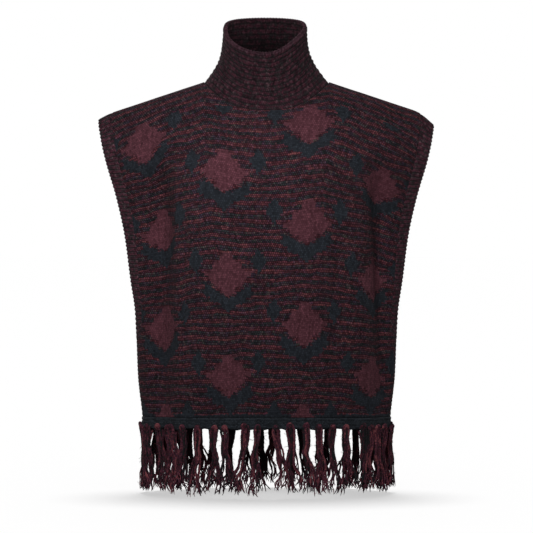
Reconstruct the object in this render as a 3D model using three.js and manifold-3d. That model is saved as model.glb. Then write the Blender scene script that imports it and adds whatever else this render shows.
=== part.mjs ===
// A knit cape in its worn, hollow form: front and back panel, funnel collar with welts, ribbed
// armhole bands over the shoulder tips, and a fringed border along the hem.
// Millimetres. The origin lies between the shoulders at the base of the neck. +X is the
// wearer's left, the front faces -Y and +Z is up.
import * as THREE from 'three';
import Module from 'manifold-3d';

// Driving dimensions
const wall = 3.2;
const seam = 0.3;
const twistedSeam = 0.45; // along the neckline and under the arm, where a seam turns as it runs
const neck = { half: 116, sideHeight: 6, frontHeight: -48, backHeight: 2, curve: 2.6 };
const shoulder = { half: 312, slope: 0.33, roundAtNeck: 235, roundAtTip: 110 };
const tips = {
  right: { reach: 12, drop: 4 },
  left: { reach: 40, drop: 14 },
};
const collar = { wall: 4, halfWidth: 78, shift: -2.5, front: 70, back: 63, flare: 2.3 };
// The rim's height at the sides, and for each panel its height at the middle and the power of
// its curve at the right and at the left
const rim = {
  sideHeight: 106,
  front: { height: 55.5, curve: [1.1, 2.1] },
  back: { height: 128, curve: [0.6, 0.6] },
};
const welts = { count: 12, raise: 2, fullAtRow: 4 };
const bandRibs = { pitch: 8, raise: 1.3, slant: 8 };
const armholeEnd = -466;
const hem = { height: -618, frontRise: 5, border: 22 };
const fringe = { tassels: 22, locks: 3, apart: 5.5, length: 113, uneven: 7 };
const lock = { root: 1.3, thickness: 2.9, thinning: 0.75, splay: 1.2, sway: 1.3, lean: 2.2 };
const lockBends = [-0.07, 0.07, 0.5, 1];

// Level sections of the worn body. half: half its width; front, back: how far the cloth stands
// out at the middle; arm: how far the armhole's edge stands from the shoulder plane; bow: the
// power that shapes the section's end, 1 for a sharp edge and 0.5 for a round side; band: how
// much of the armhole band shows from the front.
const sections = [
  { z: -62, half: 312, front: 104, back: 92, arm: 24, bow: 1, band: 25 },
  { z: -100, half: 307, front: 110, back: 96, arm: 27, bow: 1, band: 24.5 },
  { z: -137, half: 299, front: 115, back: 99, arm: 29, bow: 0.98, band: 23.5 },
  { z: -211, half: 278, front: 119, back: 98, arm: 30, bow: 0.9, band: 21.5 },
  { z: -285, half: 262.5, front: 115, back: 93, arm: 27, bow: 0.78, band: 19 },
  { z: -359, half: 253.5, front: 108, back: 89, arm: 20, bow: 0.66, band: 16 },
  { z: -430, half: 244.5, front: 103, back: 87, arm: 9, bow: 0.56, band: 12 },
  { z: -466, half: 243.5, front: 101, back: 86, arm: 1.5, bow: 0.53, band: 10.5 },
  { z: -474, half: 243.3, front: 101, back: 86, arm: 0.15, bow: 0.52, band: 10 },
  { z: -544, half: 240.5, front: 98, back: 87, arm: 0.15, bow: 0.5, band: 10 },
  { z: -638, half: 231.5, front: 96, back: 89, arm: 0.15, bow: 0.5, band: 10 },
];
const sectionPower = 2.3;

// Hanging folds, where the middle of a panel laps over its side part. x and xHem: where the fold
// hangs at its start and at the hem; start, full: heights where it begins and is whole; atHem:
// the share of it left at the hem; width: half the angle it takes up; lap: how far the cloth
// swings to each side; back: the share of the depth by which the side part lies back.
const folds = {
  front: [
    { x: -174, xHem: -170, start: -95, full: -250, atHem: 0.35, width: 0.19, lap: 9, back: 0.4 },
    { x: 186, xHem: 212, start: -110, full: -270, atHem: 0.3, width: 0.18, lap: 8, back: 0.42 },
  ],
  back: [
    { x: -176, xHem: -150, start: -140, full: -320, atHem: 0.6, width: 0.18, lap: 10, back: 0.2 },
    { x: 172, xHem: 178, start: -120, full: -300, atHem: 0.5, width: 0.18, lap: 9, back: 0.24 },
  ],
};

// Shallow hollows that run down a panel between the folds: place, half width, depth and the
// height where each begins. They open over hollowRun.
const hollowRun = 160;
const hollows = {
  front: [
    { x: -96, half: 34, depth: 5, start: -180 },
    { x: 22, half: 46, depth: 4, start: -260 },
    { x: 128, half: 30, depth: 6, start: -200 },
  ],
  back: [
    { x: -60, half: 40, depth: 6, start: -220 },
    { x: 70, half: 36, depth: 7, start: -170 },
  ],
};

// The mesh of each panel: columns in each stretch from side to side, rows over the shoulder,
// and the heights of the rows below it.
const columns = {
  front: { sidePart: 3, fold: 8, inner: 3, neck: 16 },
  back: { sidePart: 3, fold: 5, inner: 3, neck: 14 },
};
const shoulderRows = 5;
const underarmRows = [armholeEnd, armholeEnd - bandRibs.slant];
const levels = {
  front: [-222, -256, -290, -324, -358, -394, -430, ...underarmRows, -510, -546, -582],
  back: [-235, -275, -315, -355, -395, -432, ...underarmRows, -515, -565],
};
const facing = { front: -1, back: 1 };
const quarter = Math.PI / 2;

const clamp = (value, low, high) => Math.min(Math.max(value, low), high);
const smooth = (share) => {
  const t = clamp(share, 0, 1);
  return t * t * (3 - 2 * t);
};
const mix = (a, b, share) => a + (b - a) * share;

// A repeatable scatter between -1 and 1 for the number k
const scatter = (k) => {
  const value = Math.sin(k * 12.9898 + 4.1414) * 43758.5453;
  return 2 * (value - Math.floor(value)) - 1;
};

// One column of the section table at height z, on a curve that never overshoots its rows
function sectionValue(name, z) {
  const last = sections.length - 1;
  if (z >= sections[0].z) return sections[0][name];
  if (z <= sections[last].z) return sections[last][name];
  const rise = (k) => sections[k + 1][name] - sections[k][name];
  const grade = (k) => rise(k) / (sections[k + 1].z - sections[k].z);
  const tangent = (k) => {
    if (k === 0 || k === last || grade(k - 1) * grade(k) <= 0) return 0;
    return (2 * grade(k - 1) * grade(k)) / (grade(k - 1) + grade(k));
  };
  const k = sections.findIndex((row) => row.z < z) - 1;
  const span = sections[k + 1].z - sections[k].z;
  const t = (z - sections[k].z) / span;
  return (
    sections[k][name] * (2 * t ** 3 - 3 * t ** 2 + 1) +
    sections[k + 1][name] * (3 * t ** 2 - 2 * t ** 3) +
    span * tangent(k) * (t ** 3 - 2 * t ** 2 + t) +
    span * tangent(k + 1) * (t ** 3 - t ** 2)
  );
}

// Heights of the shoulder ridge, the neckline and the hem at the place x
function ridgeHeight(x) {
  const tip = x < 0 ? tips.right : tips.left;
  const past = Math.max(0, Math.abs(x) - (shoulder.half - tip.reach)) / tip.reach;
  return neck.sideHeight - shoulder.slope * (Math.abs(x) - neck.half) - tip.drop * past ** 2;
}

function necklineHeight(panel, x) {
  const middle = panel === 'front' ? neck.frontHeight : neck.backHeight;
  return mix(middle, neck.sideHeight, (Math.abs(x) / neck.half) ** neck.curve);
}

function hemHeight(panel, angle) {
  const rise = panel === 'front' ? hem.frontRise : 0;
  return hem.height + rise * Math.cos(angle) ** 2;
}

const shoulderRound = (angle) =>
  mix(shoulder.roundAtNeck, shoulder.roundAtTip, Math.abs(Math.sin(angle)));

function foldAngle(fold, z) {
  const x = mix(fold.x, fold.xHem, clamp((fold.start - z) / (fold.start - hem.height), 0, 1));
  return Math.asin(x / sectionValue('half', z));
}

function foldAmount(fold, z) {
  const opened = smooth((fold.start - z) / (fold.start - fold.full));
  return opened * mix(1, fold.atHem, smooth((fold.full - z) / (fold.full - hem.height)));
}

// The cloth's outer surface. angle runs from -90 degrees at the right side to 90 at the left;
// down is 0 on the shoulder ridge, 1 where the shoulder has rounded into the body and 2 at the hem.
function clothPoint(panel, angle, down) {
  const round = shoulderRound(angle);
  const ridge = ridgeHeight(shoulder.half * Math.sin(angle));
  const turn = Math.min(down, 1) * quarter;
  const rounded = ridge - round * (1 - Math.cos(turn));
  const z = mix(rounded, hemHeight(panel, angle), Math.max(0, down - 1));
  let across = sectionValue('half', z) * Math.sin(angle);
  const arm = sectionValue('arm', z);
  const full = Math.max(0, 1 - Math.abs(Math.sin(angle)) ** sectionPower) ** sectionValue('bow', z);
  let depth = arm + (sectionValue(panel, z) - arm) * full;
  for (const fold of folds[panel]) {
    const amount = foldAmount(fold, z);
    const outward = Math.sign(fold.x);
    const place = (outward * (angle - foldAngle(fold, z))) / fold.width;
    const swing = Math.sin(Math.PI * place) * Math.max(0, 1 - place ** 2);
    across -= outward * fold.lap * amount * swing;
    depth *= 1 - fold.back * amount * smooth((place + 1) / 2);
  }
  for (const hollow of hollows[panel]) {
    const near = 1 - Math.abs(across - hollow.x) / hollow.half;
    depth -= hollow.depth * smooth(near) * smooth((hollow.start - z) / hollowRun);
  }
  const y = Math.max(depth * Math.sin(turn), seam / 2);
  return new THREE.Vector3(across, facing[panel] * y, z);
}

// How far down the height z lies on the column at angle
function downAt(panel, angle, z) {
  const ridge = ridgeHeight(shoulder.half * Math.sin(angle));
  const round = shoulderRound(angle);
  if (z > ridge - round) return Math.acos(1 - Math.max(0, ridge - z) / round) / quarter;
  return 1 + (ridge - round - z) / (ridge - round - hemHeight(panel, angle));
}

// The direction across the cloth at a place, towards the wearer's left, and the way it faces
function clothAcross(panel, angle, down) {
  const step = 1e-3;
  const ahead = clothPoint(panel, Math.min(angle + step, quarter), down);
  return ahead.sub(clothPoint(panel, Math.max(angle - step, -quarter), down)).normalize();
}

function clothNormal(panel, angle, down) {
  const step = 6e-3;
  const low = clothPoint(panel, angle, Math.min(down + step, 2));
  low.sub(clothPoint(panel, angle, Math.max(down - step, 0)));
  return low.cross(clothAcross(panel, angle, down)).multiplyScalar(-facing[panel]).normalize();
}

// Angle of the panel's own edge: the side seam, or the armhole band's seam above the underarm
function edgeAngle(side, z) {
  const whole = clamp((armholeEnd - z) / bandRibs.slant, 0, 1);
  const half = sectionValue('half', z);
  const atBand = Math.asin(1 - sectionValue('band', z) / half);
  return side * mix(atBand, quarter, whole);
}

// Angles of a panel's columns at height z: the folds keep their own columns wherever they hang
function columnAngles(panel, z) {
  const count = columns[panel];
  const [right, left] = folds[panel].map((fold) => foldAngle(fold, z));
  const [rightHalf, leftHalf] = folds[panel].map((fold) => fold.width);
  const neckAngle = Math.asin(neck.half / shoulder.half);
  const angles = [];
  const stretch = (from, to, steps) => {
    for (let k = 0; k < steps; k++) angles.push(mix(from, to, k / steps));
  };
  stretch(edgeAngle(-1, z), right - rightHalf, count.sidePart);
  stretch(right - rightHalf, right + rightHalf, count.fold);
  stretch(right + rightHalf, -neckAngle, count.inner);
  for (let k = 0; k < count.neck; k++) {
    const x = -neck.half * Math.cos((Math.PI * k) / count.neck);
    angles.push(Math.asin(x / shoulder.half));
  }
  stretch(neckAngle, left - leftHalf, count.inner);
  stretch(left - leftHalf, left + leftHalf, count.fold);
  stretch(left + leftHalf, edgeAngle(1, z), count.sidePart);
  angles.push(edgeAngle(1, z));
  return angles;
}

// The collar without its welts: around the seam at the place x of a panel, up is 0 at the seam
// and 1 at the rim
function collarPoint(panel, x, up, lift) {
  const foot = seamPoint(panel, x).addScaledVector(lift, twistedSeam);
  const share = x / neck.half;
  const out = Math.sqrt(Math.max(0, 1 - share ** 2));
  const topX = collar.shift + collar.halfWidth * share;
  const topY = facing[panel] * (panel === 'front' ? collar.front : collar.back) * out;
  const curve = mix(...rim[panel].curve, smooth(0.5 + 1.25 * share));
  const topZ = mix(rim.sideHeight, rim[panel].height, out ** curve);
  const spread = (1 - up) ** collar.flare;
  return new THREE.Vector3(
    mix(topX, foot.x, spread),
    mix(topY, foot.y, spread),
    mix(foot.z, topZ, up),
  );
}

function seamPoint(panel, x) {
  const angle = Math.asin(x / shoulder.half);
  const point = clothPoint(panel, angle, downAt(panel, angle, necklineHeight(panel, x)));
  if (Math.abs(x) > neck.half - 0.01) point.y = 0;
  return point;
}

// The neckline's seam at x: the way both walls are cut there, how far that cut runs, and the
// direction in which the collar stands off from the panel
function neckSeam(panel, x) {
  const angle = Math.asin(x / shoulder.half);
  const panelNormal = clothNormal(panel, angle, downAt(panel, angle, necklineHeight(panel, x)));
  const step = 0.5;
  const still = new THREE.Vector3();
  const low = Math.max(x - step, -neck.half);
  const high = Math.min(x + step, neck.half);
  const along = seamPoint(panel, high).sub(seamPoint(panel, low)).normalize();
  if (Math.abs(x) > neck.half - step) along.set(0, facing[panel] * -Math.sign(x), 0);
  const rise = collarPoint(panel, x, 0.02, still).sub(collarPoint(panel, x, 0, still));
  const collarNormal = along.clone().cross(rise).multiplyScalar(-facing[panel]).normalize();
  if (Math.abs(x) > neck.half - step) panelNormal.setY(0).normalize();
  const cut = panelNormal.clone().add(collarNormal).normalize();
  const lift = cut.clone().cross(along).normalize();
  if (lift.z < 0) lift.negate();
  return { cut, lift, cosine: cut.dot(panelNormal) };
}

// Closes an outer and an inner grid of points into one wall. ring wraps the columns round. With
// a ring the two grids may differ in their number of rows.
function wallGeometry(outer, inner, ring = false) {
  const width = outer[0].length;
  const points = [...outer.flat(), ...inner.flat()];
  const firstInner = outer.length * width;
  const index = [];
  const quad = (a, b, c, d) => index.push(a, b, c, a, c, d);
  const outerAt = (row, col) => row * width + (col % width);
  const innerAt = (row, col) => firstInner + row * width + (col % width);
  const spans = ring ? width : width - 1;
  const lastOuter = outer.length - 1;
  const lastInner = inner.length - 1;
  for (let col = 0; col < spans; col++) {
    const next = col + 1;
    for (let row = 0; row < lastOuter; row++) {
      quad(outerAt(row, col), outerAt(row + 1, col), outerAt(row + 1, next), outerAt(row, next));
    }
    for (let row = 0; row < lastInner; row++) {
      quad(innerAt(row, col), innerAt(row, next), innerAt(row + 1, next), innerAt(row + 1, col));
    }
    quad(outerAt(0, col), outerAt(0, next), innerAt(0, next), innerAt(0, col));
    const [low, lowNext] = [outerAt(lastOuter, col), outerAt(lastOuter, next)];
    quad(lowNext, low, innerAt(lastInner, col), innerAt(lastInner, next));
  }
  if (!ring) {
    for (let row = 0; row < lastOuter; row++) {
      quad(outerAt(row + 1, 0), outerAt(row, 0), innerAt(row, 0), innerAt(row + 1, 0));
      quad(outerAt(row, spans), outerAt(row + 1, spans), innerAt(row + 1, spans), innerAt(row, spans));
    }
  }
  return closedGeometry(points, index);
}

// A geometry from points and triangles, turned so that its faces point out
function closedGeometry(points, index) {
  let volume = 0;
  for (let k = 0; k < index.length; k += 3) {
    const [a, b, c] = [points[index[k]], points[index[k + 1]], points[index[k + 2]]];
    volume += a.dot(b.clone().cross(c));
  }
  if (volume < 0) index.reverse();
  const geometry = new THREE.BufferGeometry().setFromPoints(points);
  geometry.setIndex(index);
  return geometry;
}

// Front or back panel from the shoulder seam and the neckline down to the hem border, as an outer
// and an inner grid of points
function panelGrids(panel) {
  const outer = [];
  const inner = [];
  const topAngles = columnAngles(panel, 0);
  const rows = shoulderRows + levels[panel].length + 1;
  for (let row = 0; row <= rows; row++) {
    const outerRow = [];
    const innerRow = [];
    topAngles.forEach((topAngle, col) => {
      const x = shoulder.half * Math.sin(topAngle);
      const atNeck = Math.abs(x) <= neck.half + 0.01;
      const start = atNeck ? downAt(panel, topAngle, necklineHeight(panel, x)) : 0;
      let z = hemHeight(panel, topAngle);
      if (row <= shoulderRows) {
        z = clothPoint(panel, topAngle, mix(start, 1, row / shoulderRows)).z;
      } else if (row < rows) {
        z = levels[panel][row - shoulderRows - 1];
      }
      const angle = columnAngles(panel, z)[col];
      let down = downAt(panel, angle, z);
      if (row === 0) down = start;
      if (row === rows) down = 2;
      const point = clothPoint(panel, angle, down);
      const normal = clothNormal(panel, angle, down);
      let thick = wall;
      if (row === 0 && atNeck) {
        const { cut, cosine } = neckSeam(panel, x);
        normal.copy(cut);
        thick = wall / cosine;
      }
      outerRow.push(point);
      innerRow.push(point.clone().addScaledVector(normal, -thick));
    });
    outer.push(outerRow);
    inner.push(innerRow);
  }
  return { outer, inner };
}

// The place on a panel's side edge nearest to a point, on its outer and its inner face
function nearestOnEdge({ outer, inner }, side, point) {
  const col = side < 0 ? 0 : outer[0].length - 1;
  let best = { gap: Infinity };
  const nearest = new THREE.Vector3();
  for (let row = 0; row + 1 < outer.length; row++) {
    const line = new THREE.Line3(outer[row][col], outer[row + 1][col]);
    const share = line.closestPointToPointParameter(point, true);
    const gap = line.at(share, nearest).distanceTo(point);
    if (gap < best.gap) best = { gap, row, share };
  }
  const { row, share } = best;
  return {
    outer: outer[row][col].clone().lerp(outer[row + 1][col], share),
    inner: inner[row][col].clone().lerp(inner[row + 1][col], share),
  };
}

// Funnel collar: raised welts outside, plain inside
function collarGeometry() {
  const stations = [];
  for (const panel of ['front', 'back']) {
    const count = columns[panel].neck;
    for (let k = 0; k < count; k++) {
      stations.push({ panel, x: facing[panel] * neck.half * Math.cos((Math.PI * k) / count) });
    }
  }
  const face = (station, up) => {
    const { panel, x } = station;
    const { cut, lift, cosine } = neckSeam(panel, x);
    const point = collarPoint(panel, x, up, lift);
    if (up === 0) return { point, normal: cut, thick: wall / cosine };
    const side = x === neck.half || x === -neck.half;
    const step = 0.4;
    const ahead = collarPoint(panel, clamp(x + step, -neck.half, neck.half), up, lift);
    const along = ahead.sub(collarPoint(panel, clamp(x - step, -neck.half, neck.half), up, lift));
    if (side) along.set(0, facing[panel] * -Math.sign(x), 0);
    const rise = collarPoint(panel, x, Math.min(1, up + 0.02), lift);
    rise.sub(collarPoint(panel, x, up - 0.02, lift));
    const normal = along.cross(rise).multiplyScalar(-facing[panel]).normalize();
    return { point, normal, thick: mix(wall, collar.wall, smooth(up * 4)) };
  };
  const outer = [];
  for (let row = 0; row <= 2 * welts.count; row++) {
    outer.push(
      stations.map((station) => {
        const { point, normal } = face(station, row / (2 * welts.count));
        return point.addScaledVector(normal, row % 2 ? welts.raise * Math.min(1, row / welts.fullAtRow) : 0);
      }),
    );
  }
  const inner = [];
  const plainRows = 6;
  for (let row = 0; row <= plainRows; row++) {
    inner.push(
      stations.map((station) => {
        const { point, normal, thick } = face(station, row / plainRows);
        return point.addScaledVector(normal, -thick);
      }),
    );
  }
  return wallGeometry(outer, inner, true);
}

// One armhole band: a ribbed strip up the front edge, over the shoulder tip and down the back
// edge. Its ribs run across it, raised outside over a plain inside.
function bandGeometry(side, grids) {
  const trace = [];
  const samples = 240;
  for (const [panel, from, to] of [['front', armholeEnd, 0], ['back', 0, armholeEnd]]) {
    const lowest = downAt(panel, side * quarter, armholeEnd);
    for (let k = 0; k <= samples; k++) {
      const down = mix(from ? lowest : 0, to ? lowest : 0, k / samples);
      trace.push({ panel, down, point: clothPoint(panel, side * quarter, down) });
    }
  }
  let length = 0;
  trace.forEach((spot, k) => {
    if (k) length += spot.point.distanceTo(trace[k - 1].point);
    spot.along = length;
  });
  const ribs = Math.round(length / bandRibs.pitch);
  const outer = [];
  const inner = [];
  for (let row = 0; row <= 2 * ribs; row++) {
    const along = (length * row) / (2 * ribs);
    const k = clamp(trace.findIndex((spot) => spot.along >= along - 1e-9), 1, trace.length - 1);
    const [before, after] = [trace[k - 1], trace[k]];
    const share = (along - before.along) / Math.max(after.along - before.along, 1e-9);
    const { panel } = after;
    const down = mix(before.down, after.down, clamp(share, 0, 1));
    const height = clothPoint(panel, side * quarter, down).z;
    const nearEnd = smooth(1 - (height - armholeEnd) / 60);
    const outerRow = [];
    const innerRow = [];
    for (const part of [0, 1]) {
      const free = part === 1;
      const z = height + twistedSeam - bandRibs.slant * nearEnd * part;
      const angle = mix(edgeAngle(side, Math.max(z, armholeEnd)), side * quarter, part);
      const overTip = ridgeHeight(shoulder.half * Math.sin(angle)) - shoulderRound(angle);
      const place = z > overTip ? Math.min(down, 1) : downAt(panel, angle, z);
      const point = clothPoint(panel, angle, place);
      const normal = clothNormal(panel, angle, place);
      const raise = row % 2 ? bandRibs.raise : 0;
      const room = Math.abs(point.y) - seam / 2;
      const scallop = free ? Math.min(raise, room / 2) : 0;
      const across = clothAcross(panel, angle, place).multiplyScalar(side);
      if (free) {
        innerRow.push(point.clone().addScaledVector(normal, -wall));
        outerRow.push(point.addScaledVector(normal, raise).addScaledVector(across, scallop));
      } else {
        const edge = nearestOnEdge(grids[panel], side, point);
        innerRow.push(edge.inner.addScaledVector(across, seam));
        outerRow.push(edge.outer.addScaledVector(across, seam).addScaledVector(normal, raise / 2));
      }
    }
    outer.push(outerRow);
    inner.push(innerRow);
  }
  return wallGeometry(outer, inner);
}

// A lock of fringe: a three-sided prism along its path that thins towards its end
function lockGeometry(path) {
  const points = [];
  const index = [];
  path.forEach((centre, k) => {
    const thick = lock.thickness * mix(1, lock.thinning, k / (path.length - 1));
    const reach = k ? thick : lock.root;
    for (let corner = 0; corner < 3; corner++) {
      const turn = (corner * 2 * Math.PI) / 3 + quarter;
      const offset = new THREE.Vector3(reach * Math.cos(turn), reach * Math.sin(turn), 0);
      points.push(centre.clone().add(offset));
    }
  });
  for (let k = 0; k + 1 < path.length; k++) {
    for (let corner = 0; corner < 3; corner++) {
      const [a, b] = [3 * k + corner, 3 * k + ((corner + 1) % 3)];
      index.push(a, a + 3, b + 3, a, b + 3, b);
    }
  }
  const end = 3 * (path.length - 1);
  index.push(0, 1, 2, end, end + 2, end + 1);
  return closedGeometry(points, index);
}

// Hem border with its tassels: the border is the narrow strip into which each lock's root is fused
function hemGeometry(panel, solids) {
  const angles = columnAngles(panel, hem.height);
  const outer = [0, 1].map((row) =>
    angles.map((angle) => {
      const point = clothPoint(panel, angle, 2);
      point.z -= row ? hem.border : seam;
      return point;
    }),
  );
  const normals = angles.map((angle) => clothNormal(panel, angle, 2).setZ(0).normalize());
  const inward = (point, k) => point.clone().addScaledVector(normals[k], -wall);
  const inner = outer.map((row) => row.map(inward));
  const border = solids.fromGeometry(wallGeometry(outer, inner));
  const line = outer[1].map((point, k) => point.clone().addScaledVector(normals[k], -wall / 2));
  const curve = new THREE.CurvePath();
  for (let k = 0; k + 1 < line.length; k++) curve.add(new THREE.LineCurve3(line[k], line[k + 1]));
  const spacing = curve.getLength() / fringe.tassels;
  const locks = [];
  for (let tassel = 0; tassel < fringe.tassels; tassel++) {
    for (let k = 0; k < fringe.locks; k++) {
      const number = tassel * fringe.locks + k + (panel === 'front' ? 0 : 500);
      const aside = k - (fringe.locks - 1) / 2;
      const place = (tassel + 0.5) * spacing + aside * fringe.apart;
      const root = curve.getPointAt(place / curve.getLength());
      const tangent = curve.getTangentAt(place / curve.getLength());
      const out = new THREE.Vector3(tangent.y, -tangent.x, 0).multiplyScalar(-facing[panel]);
      const length = fringe.length + fringe.uneven * scatter(number);
      const path = lockBends.map((t) => {
        const hang = Math.max(t, 0);
        const sway = lock.sway * Math.sin(5 * hang + number) * hang;
        return root
          .clone()
          .addScaledVector(tangent, aside * lock.splay * hang + sway)
          .addScaledVector(out, lock.lean * scatter(number + 90) * hang)
          .setZ(root.z - t * length);
      });
      locks.push(lockGeometry(path));
    }
  }
  return solids.join(border, locks.map((geometry) => solids.fromGeometry(geometry)));
}

// Solids that can be joined
const wasm = await Module();
wasm.setup();
const solids = {
  fromGeometry(geometry) {
    const mesh = new wasm.Mesh({
      numProp: 3,
      vertProperties: new Float32Array(geometry.attributes.position.array),
      triVerts: new Uint32Array(geometry.index.array),
    });
    return new wasm.Manifold(mesh);
  },
  join(first, others) {
    const whole = others.reduce((sum, next) => sum.add(next), first);
    const { vertProperties, triVerts, numProp } = whole.getMesh();
    const geometry = new THREE.BufferGeometry();
    const places = new Float32Array((vertProperties.length / numProp) * 3);
    for (let k = 0; k < places.length; k++) {
      places[k] = vertProperties[Math.floor(k / 3) * numProp + (k % 3)];
    }
    geometry.setAttribute('position', new THREE.BufferAttribute(places, 3));
    geometry.setIndex(new THREE.BufferAttribute(new Uint32Array(triVerts), 1));
    return geometry;
  },
};

// The yarns' colours: space-dyed wool in wine red and near black, plum, and dark teal
const yarn = {
  body: { color: 0x3c1f27, roughness: 0.95, metalness: 0 },
  rib: { color: 0x3b2a33, roughness: 0.95, metalness: 0 },
  fringe: { color: 0x44222c, roughness: 0.9, metalness: 0 },
};
const grids = { front: panelGrids('front'), back: panelGrids('back') };
const panelGeometry = ({ outer, inner }) => wallGeometry(outer, inner);
const pieces = [
  { name: 'front_panel', geometry: panelGeometry(grids.front), look: yarn.body },
  { name: 'back_panel', geometry: panelGeometry(grids.back), look: yarn.body },
  { name: 'collar', geometry: collarGeometry(), look: yarn.rib },
  { name: 'armhole_band_right', geometry: bandGeometry(-1, grids), look: yarn.rib },
  { name: 'armhole_band_left', geometry: bandGeometry(1, grids), look: yarn.rib },
  { name: 'hem_fringe_front', geometry: hemGeometry('front', solids), look: yarn.fringe },
  { name: 'hem_fringe_back', geometry: hemGeometry('back', solids), look: yarn.fringe },
];

const cape = new THREE.Group();
for (const { name, geometry, look } of pieces) {
  const mesh = new THREE.Mesh(geometry, new THREE.MeshStandardMaterial(look));
  mesh.name = name;
  cape.add(mesh);
}

export default cape;
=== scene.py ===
import math
from functools import partialmethod

import bmesh
import bpy
import numpy as np
from bpy.props import FloatProperty, FloatVectorProperty, IntProperty, PointerProperty
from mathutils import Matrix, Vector


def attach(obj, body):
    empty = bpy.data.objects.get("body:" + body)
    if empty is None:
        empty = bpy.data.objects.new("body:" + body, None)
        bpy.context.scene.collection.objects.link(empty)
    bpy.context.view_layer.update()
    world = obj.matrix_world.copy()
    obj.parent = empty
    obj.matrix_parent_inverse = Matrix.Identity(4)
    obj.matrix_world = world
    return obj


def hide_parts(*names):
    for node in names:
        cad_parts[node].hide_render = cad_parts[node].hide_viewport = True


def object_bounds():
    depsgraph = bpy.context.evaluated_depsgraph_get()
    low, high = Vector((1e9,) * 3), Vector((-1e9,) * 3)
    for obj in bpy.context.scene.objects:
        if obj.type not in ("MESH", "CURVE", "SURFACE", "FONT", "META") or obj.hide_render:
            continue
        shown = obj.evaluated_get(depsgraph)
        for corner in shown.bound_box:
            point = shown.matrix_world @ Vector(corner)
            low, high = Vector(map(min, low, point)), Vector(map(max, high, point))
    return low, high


bl_info = {
    "name": "Knit cape",
    "version": (1, 0, 0),
    "blender": (4, 5, 0),
    "location": "View3D > Sidebar > Knit cape",
    "description": "Builds the knitted panels, collar, bands and fringe of a hollow worn cape",
    "category": "Object",
}

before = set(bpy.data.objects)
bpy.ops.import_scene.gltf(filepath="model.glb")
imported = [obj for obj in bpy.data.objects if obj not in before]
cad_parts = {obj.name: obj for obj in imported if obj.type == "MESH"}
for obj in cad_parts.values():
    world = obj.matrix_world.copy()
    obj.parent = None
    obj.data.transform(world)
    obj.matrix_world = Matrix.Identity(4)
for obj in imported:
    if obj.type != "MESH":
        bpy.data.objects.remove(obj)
cad_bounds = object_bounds()

# The cloth's form, in millimetres, as in the part's source: origin at the base of the neck,
# +X to the wearer's left, front facing -Y
MM = 0.001
QUARTER = math.pi / 2
FACING = {"front": -1, "back": 1}
WALL = 3.2
NECK = {"half": 116, "side": 6, "front": -48, "back": 2, "curve": 2.6}
SHOULDER = {"half": 312, "slope": 0.33, "round_neck": 235, "round_tip": 110}
TIPS = {-1: {"reach": 12, "drop": 4}, 1: {"reach": 40, "drop": 14}}
COLLAR = {"half": 78, "shift": -2.5, "front": 70, "back": 63, "flare": 2.9, "wall": 4}
# The rim's height at the sides, and for each panel its height at the middle and the power of
# its curve at the right and at the left
RIM = {"side": 106, "front": (55.5, 1.1, 2.1), "back": (128, 0.6, 0.6)}
ARMHOLE_END = -466
BAND_SLANT = 8
HEM = {"height": -618, "front_rise": 5, "border": 22}
FRINGE = {
    "length": 113, "uneven": 7, "twist": 9.0, "plies": 3, "ply_relief": 0.16, "fibres": 8,
}
SECTION_POWER = 2.3
# How far the front's seam allowances lap under the back, and the panels under the bands
SEAM_LAP = 0.9
BAND_LAP = 3.0
# Rows of faces to one knitted ridge
ROWS = 4
# How far below its own height v the inner face of the collar lies on the flat cloth
WRONG_SIDE = 400
UP = np.array([0, 0, 1.0])

# The hanging form at heights z: half width, depth in front and behind, depth at the arms, how
# far its outline bows, and the armhole band's width
SECTIONS = {
    "z": (-62, -100, -137, -211, -285, -359, -430, -466, -474, -544, -638),
    "half": (312, 307, 299, 278, 262.5, 253.5, 244.5, 243.5, 243.3, 240.5, 231.5),
    "front": (104, 110, 115, 119, 115, 108, 103, 101, 101, 98, 96),
    "back": (92, 96, 99, 98, 93, 89, 87, 86, 86, 87, 89),
    "arm": (24, 27, 29, 30, 27, 20, 9, 1.5, 0.15, 0.15, 0.15),
    "bow": (1, 1, 0.98, 0.9, 0.78, 0.66, 0.56, 0.53, 0.52, 0.5, 0.5),
    "band": (25, 24.5, 23.5, 21.5, 19, 16, 12, 10.5, 10, 10, 10),
}

# Hanging folds: x and x_hem are where the fold hangs at its start and at the hem
FOLD_NAMES = ("x", "x_hem", "start", "full", "at_hem", "width", "lap", "back")
FOLDS = {
    "front": (
        (-174, -170, -95, -250, 0.35, 0.19, 9, 0.4),
        (186, 212, -110, -270, 0.3, 0.18, 8, 0.42),
    ),
    "back": (
        (-176, -150, -140, -320, 0.6, 0.18, 10, 0.2),
        (172, 178, -120, -300, 0.5, 0.18, 9, 0.24),
    ),
}

# Hollows that run down a panel: x, half width, depth, start
HOLLOW_RUN = 160
HOLLOWS = {
    "front": ((-96, 34, 5, -180), (22, 46, 4, -260), (128, 30, 6, -200)),
    "back": ((-60, 40, 6, -220), (70, 36, 7, -170)),
}

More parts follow.
